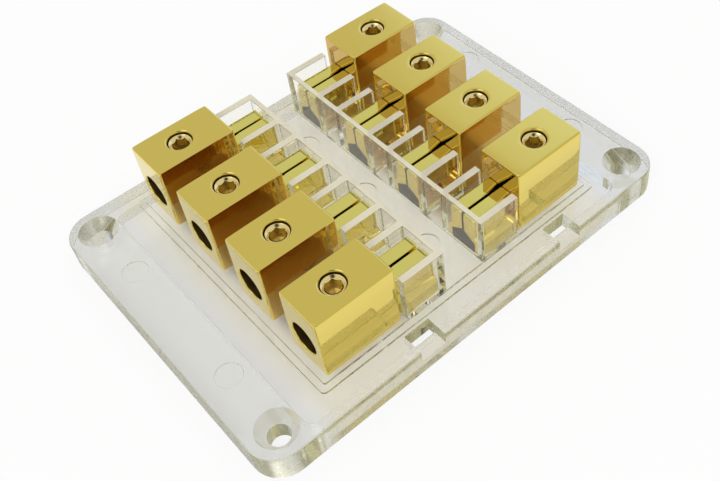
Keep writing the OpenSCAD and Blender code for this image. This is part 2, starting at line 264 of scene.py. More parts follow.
def add_patch(under, azimuth, elevation, outer, inner, colour):
    """Round patch of another colour in the tent, with a soft edge between two angles; mirrors see it."""
    turn_round = radians(azimuth)
    rise = radians(elevation)
    nearness = tent_tree.nodes.new("ShaderNodeVectorMath")
    nearness.operation = "DOT_PRODUCT"
    nearness.inputs[1].default_value = (cos(rise) * cos(turn_round), cos(rise) * sin(turn_round), sin(rise))
    tent_tree.links.new(ray.outputs["Generated"], nearness.inputs[0])
    share = add_fade(tent_tree, nearness.outputs["Value"], cos(radians(outer)), cos(radians(inner)), 0, 1)
    share = add_math(tent_tree, "MULTIPLY", share, tent_path.outputs["Is Glossy Ray"])
    return add_mix(tent_tree, share, under, (*colour, 1))


tent_light = (*TENT_COLOUR, 1)
for patch in (COOL_SIDE, SKY_PANEL, CAMERA_SIDE):
    tent_light = add_patch(tent_light, **patch)
tent_tree.links.new(tent_light, tent_tree.nodes["Background"].inputs["Color"])
print("tent colour:", TENT_COLOUR)

# %% Soft lamp and light paths
SOFTBOX_PLACE = Vector((-550, -500, 750)) * MM
SOFTBOX_SIZE = 900
SOFTBOX_WATTS = 5.0

softbox_data = bpy.data.lights.new("key_softbox", "AREA")
softbox_data.shape = "SQUARE"
softbox_data.size = SOFTBOX_SIZE * MM
softbox_data.energy = SOFTBOX_WATTS
softbox = bpy.data.objects.new("key_softbox", softbox_data)
aim = (-SOFTBOX_PLACE).to_track_quat("-Z", "Y")
softbox.matrix_world = Matrix.Translation(SOFTBOX_PLACE) @ aim.to_matrix().to_4x4()
softbox.visible_glossy = False
scene.collection.objects.link(softbox)

scene.view_settings.view_transform = "Standard"
scene.cycles.max_bounces = 32
scene.cycles.glossy_bounces = 24
scene.cycles.transmission_bounces = 32
scene.cycles.diffuse_bounces = 6
print("softbox in watts:", softbox_data.energy, "bounces:", scene.cycles.max_bounces)

# %% [markdown]
# ## Clear plastic
# The base is moulded in one clear plastic that turns olive where light runs through a long way of it. One
# glassy Principled shader could cover it all, but the moulding isn't polished alike everywhere: its sides,
# its screw holes and the narrow tops of its pockets are hazier. Those hazier copies are also tinted
# yellower, and that tint is painted: it stands for the olive light that runs inside the plastic to them.
# Noise bends the clear faces a little, as a mould's own waves do, and varies the haze of the others.


# %% New finishes
def new_finish(name, colour, roughness, metallic=0.0):
    """New material with one Principled shader; returns both."""
    finish = bpy.data.materials.new(name)
    finish.use_nodes = True
    shader = finish.node_tree.nodes["Principled BSDF"]
    shader.inputs["Base Color"].default_value = (*colour, 1)
    shader.inputs["Roughness"].default_value = roughness
    shader.inputs["Metallic"].default_value = metallic
    return finish, shader


# %% Waves and haze
HAZE_NOISE = (0.3, 0.7)
HAZE_DETAIL = 4


def add_noise(finish, spot_size, detail):
    """Noise of a spot size over a finish's surface; returns its node."""
    tree = finish.node_tree
    place = tree.nodes.new("ShaderNodeTexCoord")
    noise = tree.nodes.new("ShaderNodeTexNoise")
    noise.inputs["Scale"].default_value = 1 / (spot_size * MM)
    noise.inputs["Detail"].default_value = detail
    tree.links.new(place.outputs["Object"], noise.inputs["Vector"])
    return noise


def add_waviness(finish, wave, height, detail=1.0):
    """Lets noise bend a finish's normals."""
    tree = finish.node_tree
    noise = add_noise(finish, wave, detail)
    bump = tree.nodes.new("ShaderNodeBump")
    bump.inputs["Distance"].default_value = height * MM
    tree.links.new(noise.outputs["Fac"], bump.inputs["Height"])
    tree.links.new(bump.outputs["Normal"], tree.nodes["Principled BSDF"].inputs["Normal"])


def add_haze(finish, spot_size, low, high):
    """Lets noise vary a finish's roughness between two values."""
    tree = finish.node_tree
    noise = add_noise(finish, spot_size, HAZE_DETAIL)
    span = tree.nodes.new("ShaderNodeMapRange")
    span.inputs["From Min"].default_value = HAZE_NOISE[0]
    span.inputs["From Max"].default_value = HAZE_NOISE[1]
    span.inputs["To Min"].default_value = low
    span.inputs["To Max"].default_value = high
    tree.links.new(noise.outputs["Fac"], span.inputs["Value"])
    tree.links.new(span.outputs["Result"], tree.nodes["Principled BSDF"].inputs["Roughness"])


# %% Plastic finishes
DEPTH_TINT = (0.68, 0.66, 0.0)
DEPTH_TINT_PER_METRE = 8.0
PLASTIC_IOR = 1.49
MOULD_WAVE = 9
MOULD_WAVE_HEIGHT = 0.02
HAZE_SPOT = 2


def new_plastic(name, colour, roughness, clearness=1.0):
    """Clear plastic that turns olive where light runs through a long way of it."""
    finish, shader = new_finish(name, colour, roughness)
    shader.inputs["Transmission Weight"].default_value = clearness
    shader.inputs["IOR"].default_value = PLASTIC_IOR
    tree = finish.node_tree
    tint = tree.nodes.new("ShaderNodeVolumeAbsorption")
    tint.inputs["Color"].default_value = (*DEPTH_TINT, 1)
    tint.inputs["Density"].default_value = DEPTH_TINT_PER_METRE
    tree.links.new(tint.outputs[0], tree.nodes["Material Output"].inputs["Volume"])
    return finish


clear_plastic = new_plastic("clear_plastic", colour=(0.985, 0.988, 0.975), roughness=0.02)
add_waviness(clear_plastic, MOULD_WAVE, MOULD_WAVE_HEIGHT)
# The yellower colours of these hazier copies paint the olive light seen at the plastic's edges, holes and
# pocket tops; their haze is the moulding's own.
edge_plastic = new_plastic("clear_plastic_edge", colour=(0.965, 0.953, 0.79), roughness=0.26)
add_haze(edge_plastic, HAZE_SPOT, low=0.22, high=0.32)
hole_plastic = new_plastic("clear_plastic_hole", colour=(0.965, 0.955, 0.84), roughness=0.2)
add_haze(hole_plastic, HAZE_SPOT, low=0.16, high=0.26)
satin_plastic = new_plastic("satin_clear_plastic", colour=(0.92, 0.865, 0.69), roughness=0.4, clearness=0.4)
add_haze(satin_plastic, HAZE_SPOT, low=0.35, high=0.45)
print("plastics:", [finish.name for finish in (clear_plastic, edge_plastic, hole_plastic, satin_plastic)])

# %% [markdown]
# ## Gold and the other metals
# Polished metal is nearly all reflection, so what tells it from paint is the slight waviness that buffing
# leaves and the faint haze of plating. One gold everywhere would be truer to the plating, but under this
# even tent the gaps between the blocks then show too little of the light that bounces about in them. So a
# few tones by place paint light and shade onto the plating: a redder gold on sides that face another block
# paints the bounced light, a darker one on the end above the jaws paints shade, and a paler one on the
# jaws' tops paints a brighter reflection.

# %% Gold
BUFFING_WAVE = 5
BUFFING_WAVE_HEIGHT = 0.012
BUFFING_SPOT = 3
COAT_WEIGHT = 0.4
COAT_ROUGHNESS = 0.08


def new_gold(name, colour, roughness, low, high, coated=False):
    """Gold plating with the waves of buffing and a faint haze, under a clear coat where it is coated."""
    finish, shader = new_finish(name, colour, roughness, metallic=1.0)
    if coated:
        shader.inputs["Coat Weight"].default_value = COAT_WEIGHT
        shader.inputs["Coat Roughness"].default_value = COAT_ROUGHNESS
    add_waviness(finish, BUFFING_WAVE, BUFFING_WAVE_HEIGHT)
    add_haze(finish, BUFFING_SPOT, low, high)
    return finish


gold = new_gold("polished_gold", (0.79, 0.63, 0.125), 0.05, low=0.035, high=0.07, coated=True)
# Painted tones: redder gold for light bounced between blocks, paler gold for a brighter reflection on the
# jaws' tops, darker gold for shade on the end above the jaws.
bounce_painted_gold = new_gold("gold_with_painted_bounce_light", (0.765, 0.545, 0.2), 0.06, low=0.05, high=0.1)
highlight_painted_gold = new_gold("gold_on_the_jaws_painted_highlight", (0.83, 0.75, 0.19), 0.05, low=0.035, high=0.07, coated=True)
shade_painted_gold = new_gold("gold_over_the_jaws_painted_shade", (0.64, 0.43, 0.13), 0.06, low=0.05, high=0.1)
print("golds:", [finish.name for finish in (gold, bounce_painted_gold, highlight_painted_gold, shade_painted_gold)])


# %% Other metals and dark plastic
def new_metal(name, colour, roughness, spot_size, low, high):
    """Unpolished metal with a haze in spots."""
    finish = new_finish(name, colour, roughness, metallic=1.0)[0]
    add_haze(finish, spot_size, low, high)
    return finish


# Drilled brass is rough; its dark colour paints the shade deep in the bore and the screw hole.
shade_painted_bore_brass = new_metal("drilled_brass_painted_shade", (0.24, 0.15, 0.05), 0.4, spot_size=0.4, low=0.3, high=0.5)
screw_gold = new_metal("gold_plated_screw", (0.92, 0.77, 0.36), 0.16, spot_size=0.6, low=0.12, high=0.24)
# The socket's browner colour paints the shade deep inside it, between its walls.
shade_painted_socket_brass = new_metal("broached_socket_painted_shade", (0.6, 0.46, 0.16), 0.3, spot_size=0.4, low=0.22, high=0.38)
dark_plastic, shader = new_finish("dark_support_plastic", colour=(0.03, 0.014, 0.007), roughness=0.5)
shader.inputs["Specular IOR Level"].default_value = 0.05
add_waviness(dark_plastic, wave=0.25, height=0.004, detail=3)
zinc = new_metal("bright_zinc", (0.66, 0.67, 0.68), 0.28, spot_size=0.8, low=0.2, high=0.38)
print("finishes:", [finish.name for finish in bpy.data.materials])

# %% [markdown]
# ## Mesh tools
# Nearly every form here is a rounded outline that is swept up and drawn in at its edges: the plate, the
# pockets, the jaws. So one helper rounds a drawn outline's corners and can draw the whole outline in by a
# distance, and another stacks such outlines into a closed solid. Turned forms, such as holes and screws,
# come from a lathe helper. Bevel modifiers could round these edges too, but stacked outlines keep every
# ring of points in its place.

# %% Rounded outlines
ARC_STEPS = 5
SMALLEST_RADIUS = 0.01


def rounded_loop(corners, radius_out, radius_in, inset, steps=ARC_STEPS):
    """Outline with rounded corners, drawn in by a distance; corners run anticlockwise."""
    count = len(corners)
    points = []
    for index, corner in enumerate(corners):
        before = Vector(corners[index - 1])
        here = Vector(corner)
        after = Vector(corners[(index + 1) % count])
        way_in = (here - before).normalized()
        way_out = (after - here).normalized()
        normal_in = Vector((-way_in.y, way_in.x))
        normal_out = Vector((-way_out.y, way_out.x))
        mitre = (normal_in + normal_out) / (1 + normal_in.dot(normal_out))
        sweep = atan2(way_in.cross(way_out), way_in.dot(way_out))
        side = 1 if sweep > 0 else -1
        radius = max(radius_out - inset, SMALLEST_RADIUS) if side > 0 else radius_in + inset
        centre = here + mitre * (inset + side * radius)
        start = atan2(-side * normal_in.y, -side * normal_in.x)
        for step in range(steps + 1):
            angle = start + sweep * step / steps
            points.append(centre + Vector((cos(angle), sin(angle))) * radius)
    return points


# %% Stacked solids
def stack(loops):
    """Closed solid from loops of equal length, each a list of (x, y, z)."""
    bm = bmesh.new()
    rings = [[bm.verts.new(Vector(point) * MM) for point in loop] for loop in loops]
    count = len(rings[0])
    for low, high in zip(rings, rings[1:]):
        for index in range(count):
            after = (index + 1) % count
            bm.faces.new((low[index], low[after], high[after], high[index]))
    bm.faces.new(rings[0][::-1])
    bm.faces.new(rings[-1])
    return bm


def moulding(corners, z_low, z_high, corner, inner_corner=0, edge_low=0, edge_high=0, steps=ARC_STEPS):
    """Upright solid on a rounded outline, with its lower and upper edges rounded."""
    levels = []
    for step in range(steps + 1 if edge_low else 1):
        bend = pi / 2 * step / steps
        levels.append((z_low + edge_low * (1 - cos(bend)), edge_low * (1 - sin(bend))))
    for step in range(steps + 1 if edge_high else 1):
        bend = pi / 2 * step / steps
        levels.append((z_high - edge_high * (1 - sin(bend)), edge_high * (1 - cos(bend))))
    loops = []
    for z, inset in levels:
        loops.append([(p.x, p.y, z) for p in rounded_loop(corners, corner, inner_corner, inset, steps)])
    return stack(loops)


# %% Turned forms
def lathe(profile, place=Matrix.Identity(4), segments=64):
    """Closed solid turned about Z from a profile of (radius, z) that starts and ends on the axis."""
    bm = bmesh.new()
    rings = []
    for radius, z in profile[1:-1]:
        ring = []
        for index in range(segments):
            angle = 2 * pi * index / segments
            ring.append(bm.verts.new(place @ (Vector((radius * cos(angle), radius * sin(angle), z)) * MM)))
        rings.append(ring)
    first = bm.verts.new(place @ Vector((0, 0, profile[0][1] * MM)))
    last = bm.verts.new(place @ Vector((0, 0, profile[-1][1] * MM)))
    for index in range(segments):
        after = (index + 1) % segments
        bm.faces.new((first, rings[0][after], rings[0][index]))
        for low, high in zip(rings, rings[1:]):
            bm.faces.new((low[index], low[after], high[after], high[index]))
        bm.faces.new((rings[-1][index], rings[-1][after], last))
    return bm


def shift(x, y, z):
    """Matrix that moves by millimetres."""
    return Matrix.Translation(Vector((x, y, z)) * MM)


# %% Objects from solids
def as_object(name, bm):
    """Turns a bmesh into an object of the scene, with its faces turned outwards."""
    bmesh.ops.recalc_face_normals(bm, faces=bm.faces)
    mesh = bpy.data.meshes.new(name)
    bm.to_mesh(mesh)
    bm.free()
    obj = bpy.data.objects.new(name, mesh)
    scene.collection.objects.link(obj)
    return obj


def combine(obj, others, operation):
    """Joins other solids to an object, or cuts them out of it, and takes them away."""
    for other in others:
        modifier = obj.modifiers.new("combine", "BOOLEAN")
        modifier.operation = operation
        modifier.solver = "EXACT"
        modifier.object = other
    mesh = bpy.data.meshes.new_from_object(obj.evaluated_get(bpy.context.evaluated_depsgraph_get()))
    obj.modifiers.clear()
    old = obj.data
    obj.data = mesh
    bpy.data.meshes.remove(old)
    mesh.name = obj.name
    for other in others:
        spare = other.data
        bpy.data.objects.remove(other)
        bpy.data.meshes.remove(spare)


# %% Shading and finishes of an object
SMOOTH_ANGLE = radians(32)


def smooth(obj, finish):
    """Smooth shading that keeps real edges, and one finish."""
    mesh = obj.data
    mesh.materials.clear()
    mesh.materials.append(finish)
    mesh.polygons.foreach_set("use_smooth", [True] * len(mesh.polygons))
    mesh.set_sharp_from_angle(angle=SMOOTH_ANGLE)


def second_finish(obj, finish, chosen):
    """Gives another finish to the faces that a test on their middle and normal chooses; returns its slot."""
    mesh = obj.data
    slot = len(mesh.materials)
    mesh.materials.append(finish)
    faces = [face for face in mesh.polygons if chosen(face.center / MM, face.normal)]
    for face in faces:
        face.material_index = slot
    print(finish.name, "on faces:", len(faces))
    return slot


# %% [markdown]
# ## Terminals
# A terminal is a brass block with two jaws on one end, buffed and gold-plated. Buffing rounds every edge
# and draws each face down a little towards its edges, which is why reflections bend near them. A cube with
# a Bevel modifier keeps its faces flat, so the block is a fine grid of points on a box, drawn onto rounded
# edges and then crowned.

# %% Places along the block's sides
SEAT_Z = 7.5
SEAT_ROOM = 0.02
BLOCK_IN = 15.35
BLOCK_SIZE = Vector((17.4, 10.7, 15.5))
BLOCK_EDGE = 0.45
BLOCK_OUT = BLOCK_IN + BLOCK_SIZE.x
BLOCK_TOP = SEAT_Z + BLOCK_SIZE.z
EDGE_ARCS = 4
FLATS_PER_MM = 1.2


def edge_steps(half, edge, flats):
    """Places along one side of the block, with an arc of them over each rounded edge."""
    inner = half - edge
    bend = [inner + edge * tan(pi / 4 * step / EDGE_ARCS) for step in range(1, EDGE_ARCS + 1)]
    flat = [-inner + 2 * inner * step / flats for step in range(flats + 1)]
    return [-place for place in bend[::-1]] + flat + bend


block_size = BLOCK_SIZE - Vector((0, 0, SEAT_ROOM))
block_places = [edge_steps(size / 2, BLOCK_EDGE, round(size * FLATS_PER_MM)) for size in block_size]
print("places along the sides:", [len(places) for places in block_places])

# %% Crowned points
CROWN = 0.05
CROWN_POWER = 6


def crowned_point(spot, half, edge):
    """Point of the rounded and crowned block for a spot on the plain box."""
    inner = half - Vector((edge, edge, edge))
    held = Vector([max(-inner[axis], min(inner[axis], spot[axis])) for axis in range(3)])
    point = held + (Vector(spot) - held).normalized() * edge
    share = [abs(point[axis] / half[axis]) ** CROWN_POWER for axis in range(3)]
    drop = [CROWN * (sum(share) - share[axis]) for axis in range(3)]
    return [point[axis] - drop[axis] * point[axis] / half[axis] for axis in range(3)]


# %% Polished block
SAME_DIGITS = 5


def polished_block(half, places, edge):
    """Box about the origin with rounded edges and slightly crowned faces."""
    bm = bmesh.new()
    made = {}
    for axis in range(3):
        along_axis, across_axis = [other for other in range(3) if other != axis]
        for sign in (-1, 1):
            for a0, a1 in zip(places[along_axis], places[along_axis][1:]):
                for b0, b1 in zip(places[across_axis], places[across_axis][1:]):
                    face = []
                    for a, b in ((a0, b0), (a1, b0), (a1, b1), (a0, b1)):
                        spot = [0.0, 0.0, 0.0]
                        spot[axis] = sign * half[axis]
                        spot[along_axis] = a
                        spot[across_axis] = b
                        key = tuple(round(value, SAME_DIGITS) for value in spot)
                        if key not in made:
                            point = crowned_point(spot, half, edge)
                            made[key] = bm.verts.new([value * MM for value in point])
                        face.append(made[key])
                    bm.faces.new(face)
    return bm


block_bm = polished_block(block_size / 2, block_places, BLOCK_EDGE)
block_bm.transform(shift(BLOCK_IN + block_size.x / 2, 0, BLOCK_TOP - block_size.z / 2))
terminal = as_object("terminal", block_bm)
print("block points:", len(terminal.data.vertices))

# %% [markdown]
# ## Holes and jaws
# A wire goes into a drilled bore with a pointed end, and the set screw's hole comes down into it. The jaws
# stand on a foot whose roof-shaped hollow fits over the support. Close to the block one side of each jaw is
# cut back a little, and a fine groove shows where the jaw meets the block. The crossing curves of such
# holes are hard to draw by hand, so cutters and jaws are made as solids and joined by Boolean modifiers.

# %% Holes
PAST = 1
HOLE_SEGMENTS = 72
RIM_STEPS = 8
BORE_RADIUS = 3.4
BORE_Z = 14.15
BORE_DEPTH = 10.8
BORE_RIM = 0.3
DRILL_TIP_ANGLE = 118
DRILL_SLOPE = 1 / tan(radians(DRILL_TIP_ANGLE / 2))
SCREW_X = 24.75
SCREW_HOLE_RADIUS = 2.55
SCREW_HOLE_RIM = 0.42
FIXING_X = 18.25
FIXING_HOLE_RADIUS = 1.55
FIXING_HOLE_TOP = 13.2
FIXING_SEGMENTS = 32


def hole_cutter(name, radius, depth, rim, place, point=0.0):
    """Cutter for a hole along -Z from its mouth, with a rounded rim and a drill point."""
    profile = [(0, -depth - radius * point), (radius, -depth)]
    for step in range(RIM_STEPS + 1):
        bend = pi / 2 * step / RIM_STEPS
        profile.append((radius + rim * (1 - cos(bend)), rim * (sin(bend) - 1)))
    profile += [(radius + rim, PAST), (0, PAST)]
    return as_object(name, lathe(profile, place, HOLE_SEGMENTS))


bore_place = shift(BLOCK_OUT, 0, BORE_Z) @ Matrix.Rotation(pi / 2, 4, "Y")
bore = hole_cutter("bore_cut", BORE_RADIUS, BORE_DEPTH, BORE_RIM, bore_place, DRILL_SLOPE)
screw_place = shift(SCREW_X, 0, BLOCK_TOP)
screw_hole = hole_cutter("screw_cut", SCREW_HOLE_RADIUS, BLOCK_TOP - BORE_Z, SCREW_HOLE_RIM, screw_place)
fixing_profile = [(0, SEAT_Z - PAST), (FIXING_HOLE_RADIUS, SEAT_Z - PAST)]
fixing_profile += [(FIXING_HOLE_RADIUS, FIXING_HOLE_TOP), (0, FIXING_HOLE_TOP)]
fixing_hole = as_object("fixing_cut", lathe(fixing_profile, shift(FIXING_X, 0, 0), FIXING_SEGMENTS))
print("hole cutters:", [cutter.name for cutter in (bore, screw_hole, fixing_hole)])

# %% Places along a jaw
JAW_TIP = 5.9
JAW_TIP_EDGE = 0.2
JAW_HOLD = 0.5
NECK_LENGTH = 2.8
NECK_DEPTH = 0.45
NECK_STEPS = 4
ROOT_GROOVE = 0.2


def jaw_levels():
    """Places along a jaw from its tip into the block, each with its inset and the depth of the neck."""
    levels = []
    for step in range(ARC_STEPS + 1):
        bend = pi / 2 * step / ARC_STEPS
        levels.append((JAW_TIP + JAW_TIP_EDGE * (1 - cos(bend)), JAW_TIP_EDGE * (1 - sin(bend)), 0))
    for step in range(NECK_STEPS + 1):
        share = step / NECK_STEPS
        levels.append((BLOCK_IN - ROOT_GROOVE - NECK_LENGTH * (1 - share), 0, NECK_DEPTH * share))
    levels.append((BLOCK_IN - ROOT_GROOVE / 2, ROOT_GROOVE, NECK_DEPTH))
    levels.append((BLOCK_IN + JAW_HOLD, ROOT_GROOVE, NECK_DEPTH))
    return levels


print("places along a jaw:", len(jaw_levels()))

# %% Jaws
JAW_HALF = 3.2
JAW_TOP = 16.75
JAW_EDGE = 0.4
SLIT_HALF = 0.25
FOOT_HALF = 4.15
FOOT_TOP = 10.9
ROOF_EAVES = 10.1
ROOF_RIDGE = 12.0
ROOF_SLOPE = (ROOF_RIDGE - ROOF_EAVES) / JAW_HALF


def jaw(name, side):
    """One jaw of a pair and the side of its foot, tapered on its -Y side and grooved at its root."""
    loops = []
    for x, inset, neck in jaw_levels():
        slit_side = SLIT_HALF + (neck if side > 0 else 0)
        outer_side = JAW_HALF - (neck if side < 0 else 0)
        corners = [
            (slit_side, ROOF_RIDGE - ROOF_SLOPE * slit_side),
            (JAW_HALF, ROOF_EAVES),
            (JAW_HALF, SEAT_Z + SEAT_ROOM),
            (FOOT_HALF, SEAT_Z + SEAT_ROOM),
            (FOOT_HALF, FOOT_TOP),
            (outer_side, FOOT_TOP + FOOT_HALF - outer_side),
            (outer_side, JAW_TOP),
            (slit_side, JAW_TOP),
        ]
        if side < 0:
            corners = [(-y, z) for y, z in corners[::-1]]
        loops.append([(x, p.x, p.y) for p in rounded_loop(corners, JAW_EDGE, 0, inset)])
    return as_object(name, stack(loops))


combine(terminal, [jaw("jaw_front", -1), jaw("jaw_back", 1)], "UNION")
combine(terminal, [bore, screw_hole, fixing_hole], "DIFFERENCE")
smooth(terminal, gold)
print("terminal faces:", len(terminal.data.polygons))

# %% Tones of the terminal: painted light and shade
FACING = 0.7
SKIN = 0.1
TOUCH = 0.01
LOOKS_UP = 0.1


def in_terminal_hole(middle, normal):
    """True inside the wire bore or the screw hole."""
    bore_end = BLOCK_OUT - BORE_DEPTH - BORE_RADIUS * DRILL_SLOPE - SKIN
    from_bore = Vector((middle.y, middle.z - BORE_Z)).length
    from_screw = Vector((middle.x - SCREW_X, middle.y)).length
    in_bore = middle.x > bore_end and from_bore < BORE_RADIUS + TOUCH
    return in_bore or middle.z > BORE_Z and from_screw < SCREW_HOLE_RADIUS + TOUCH


def looks_to_front(middle, normal):
    """True on the side of the block that looks to -Y."""
    return normal.y < -FACING and middle.x > BLOCK_IN and middle.y < SKIN - BLOCK_SIZE.y / 2


def looks_to_back(middle, normal):
    """True on the side of the block that looks to +Y."""
    return normal.y > FACING and middle.x > BLOCK_IN and middle.y > BLOCK_SIZE.y / 2 - SKIN


def looks_over_jaws(middle, normal):
    """True on the end of the block above the jaws."""
    return normal.x < -FACING and BLOCK_IN - TOUCH < middle.x < BLOCK_IN + SKIN


def is_jaw_top(middle, normal):
    """True on the tops of the jaws and their rounded edges."""
    return middle.x < BLOCK_IN - ROOT_GROOVE and middle.z > JAW_TOP - JAW_EDGE and normal.z > LOOKS_UP


# These finishes paint light and shade by place: shade in the holes, light bounced between neighbouring
# blocks on their sides, shade on the end above the jaws and a brighter reflection on the jaws' tops.
second_finish(terminal, shade_painted_bore_brass, in_terminal_hole)
front_slot = second_finish(terminal, bounce_painted_gold, looks_to_front)
back_slot = second_finish(terminal, bounce_painted_gold, looks_to_back)
second_finish(terminal, shade_painted_gold, looks_over_jaws)
second_finish(terminal, highlight_painted_gold, is_jaw_top)

# %% [markdown]
# ## Eight terminals
# The eight terminals are alike, so they share one mesh, and the left row is the right row turned half round.
# Copies of the mesh would work too, but one shared mesh keeps the scene small. A terminal at the end of a
# row has one side that faces no other block, so no light bounces onto it from a neighbour. There that side's
# slot is linked to the object and takes the plain gold instead of the painted bounce light.

# %% Places of the terminals
WAYS = 4
WAY_PITCH = 16.5
PLACES = [(side, way) for side in ("left", "right") for way in range(1, WAYS + 1)]


def way_y(way):
    """Place of a way along the row."""
    return (way - (WAYS + 1) / 2) * WAY_PITCH


def at_way(side, way):
    """Matrix of a piece in one row at one way; the left row is the right row turned half round."""
    half_turn = Matrix.Rotation(pi if side == "left" else 0, 4, "Z")
    return shift(0, way_y(way), 0) @ half_turn


print("ways along the row in mm:", [way_y(way) for way in range(1, WAYS + 1)])

# %% Pieces that stand for plain solids
FLAT_WEIGHT = 100


def stand_in(piece, node, body):
    """Lets a finished piece stand for a plain solid, with wide faces that look flat up to their edges."""
    flats = piece.modifiers.new("flat faces", "WEIGHTED_NORMAL")
    flats.weight = FLAT_WEIGHT
    flats.keep_sharp = True
    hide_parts(node)
    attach(piece, body)


# %% Eight terminals
OPEN_SIDES = {("right", 1): front_slot, ("right", WAYS): back_slot}
OPEN_SIDES.update({("left", 1): back_slot, ("left", WAYS): front_slot})

for side, way in PLACES:
    piece = bpy.data.objects.new(f"terminal_polished_{side}_{way}", terminal.data)
    scene.collection.objects.link(piece)
    piece.matrix_world = at_way(side, way)
    if (side, way) in OPEN_SIDES:
        open_side = piece.material_slots[OPEN_SIDES[side, way]]
        open_side.link = "OBJECT"
        open_side.material = gold
    stand_in(piece, f"terminal_{side}_{way}", "block")
print("terminals:", terminal.data.users - 1, "with an open side:", len(OPEN_SIDES))
bpy.data.objects.remove(terminal)

# %% [markdown]
# ## Set screws
# Each set screw is short and sits a little below the block's top, with its rim close to the wall of the
# hole. Its thread runs out below the rim. A Screw modifier could wind a thread profile, but a grid that one
# formula bends keeps the mesh closed, so that a socket can be cut into it.

# %% Thread
SCREW_LENGTH = 4.8
SCREW_RADIUS = 2.5
RIM_RADIUS = 2.38
THREAD_PITCH = 0.8
THREAD_DEPTH = 0.38
RUN_OUT = 0.9
RUN_OUT_FADE = 0.5
TIP_FADE = 0.6
FLANK = 1.5


def thread_radius(angle, depth):
    """Radius of the threaded body at an angle and a depth below the rim."""
    wind = (depth / THREAD_PITCH + angle / (2 * pi)) % 1
    ridge = 1 - abs(2 * wind - 1)
    start = min(1, max(0, (depth - RUN_OUT) / RUN_OUT_FADE))
    end = min(1, max(0, (SCREW_LENGTH - depth) / TIP_FADE))
    groove = THREAD_DEPTH * (1 - min(1, FLANK * ridge))
    threaded = SCREW_RADIUS - groove * end - THREAD_DEPTH * (1 - end)
    return RIM_RADIUS + (threaded - RIM_RADIUS) * start


print("thread turns:", round((SCREW_LENGTH - RUN_OUT) / THREAD_PITCH, 1))

# %% Threaded body
THREAD_SEGMENTS = 72
THREAD_ROWS = 64
LIP_EDGE = 0.14
LIP_STEPS = 4


def set_screw_body():
    """Threaded body with a rounded rim, about Z with its rim at z = 0."""
    angles = [2 * pi * index / THREAD_SEGMENTS for index in range(THREAD_SEGMENTS)]
    loops = []
    for row in range(THREAD_ROWS + 1):
        depth = SCREW_LENGTH - (SCREW_LENGTH - LIP_EDGE) * row / THREAD_ROWS
        radii = [thread_radius(angle, depth) for angle in angles]
        loops.append([(r * cos(angle), r * sin(angle), -depth) for r, angle in zip(radii, angles)])
    for step in range(1, LIP_STEPS + 1):
        bend = pi / 2 * step / LIP_STEPS
        r = RIM_RADIUS - LIP_EDGE * (1 - cos(bend))
        depth = LIP_EDGE * (1 - sin(bend))
        loops.append([(r * cos(angle), r * sin(angle), -depth) for angle in angles])
    return as_object("set_screw", stack(loops))


set_screw = set_screw_body()
print("set screw points:", len(set_screw.data.vertices))

# %% [markdown]
# ## Sockets
# The hexagon socket is broached: a hole is drilled first, then a tool with six edges is pressed in. A cone
# in two slopes leads into it. Drawing the six walls into the thread's grid would be slow work, so the three
# tools cut it as they do in the workshop. Each screw stops at its own angle.

# %% Socket
SOCKET_FLATS = 3.0
SOCKET_DEPTH = 2.6
SOCKET_CORNER = 0.06
SOCKET_ARC = 3
LEAD_RADIUS = 2.2
LEAD_DEPTH = 0.8
LEAD_BEND = (1.75, -0.3)
LEAD_OVERLAP = 0.1
LEAD_PAST = 0.5
DRILL_RADIUS = 1.15
DRILL_POINT = 0.7
DRILL_SEGMENTS = 36

corner_radius = SOCKET_FLATS / sqrt(3)
hexagon = [(corner_radius * cos(pi / 3 * k), corner_radius * sin(pi / 3 * k)) for k in range(6)]
socket = as_object("socket_cut", moulding(hexagon, -SOCKET_DEPTH, PAST, SOCKET_CORNER, steps=SOCKET_ARC))
lead_profile = [(0, -LEAD_DEPTH), (SOCKET_FLATS / 2 - LEAD_OVERLAP, -LEAD_DEPTH), LEAD_BEND]
lead_profile += [(LEAD_RADIUS, 0), (LEAD_RADIUS, LEAD_PAST), (0, LEAD_PAST)]
lead_in = as_object("lead_cut", lathe(lead_profile, segments=THREAD_SEGMENTS))
drill_profile = [(0, -SOCKET_DEPTH - DRILL_POINT), (DRILL_RADIUS, -SOCKET_DEPTH)]
drill_profile += [(DRILL_RADIUS, -PAST), (0, -PAST)]
drill = as_object("drill_cut", lathe(drill_profile, segments=DRILL_SEGMENTS))
combine(set_screw, [socket, lead_in, drill], "DIFFERENCE")
smooth(set_screw, screw_gold)
print("set screw faces:", len(set_screw.data.polygons))

# %% Socket's finish: painted shade
RIM_DEPTH = 0.2
LEAD_LEAN = (0.3, 0.9)
LOOKS_DOWN = -0.5


def in_socket(middle, normal):
    """True on the walls and the floor of the hexagon socket, below its leaning lead-in."""
    leans = LEAD_LEAN[0] < normal.z < LEAD_LEAN[1]
    inside = middle.xy.length < corner_radius and -SOCKET_DEPTH - PAST < middle.z < -RIM_DEPTH
    return inside and normal.z > LOOKS_DOWN and not leans


second_finish(set_screw, shade_painted_socket_brass, in_socket)

# %% Eight set screws
SCREW_SINK = 0.6
SCREW_TOP = BLOCK_TOP - SCREW_SINK
SOCKET_TURNS = {"left": (2, 6, 9, 28), "right": (14, 36, 4, 20)}

for side, way in PLACES:
    node = f"set_screw_{side}_{way}"
    piece = bpy.data.objects.new(f"set_screw_threaded_{side}_{way}", set_screw.data)
    scene.collection.objects.link(piece)
    stop = Matrix.Rotation(radians(SOCKET_TURNS[side][way - 1]), 4, "Z")
    piece.matrix_world = at_way(side, way) @ shift(SCREW_X, 0, SCREW_TOP) @ stop
    stand_in(piece, node, node)
print("set screws:", set_screw.data.users - 1)
bpy.data.objects.remove(set_screw)

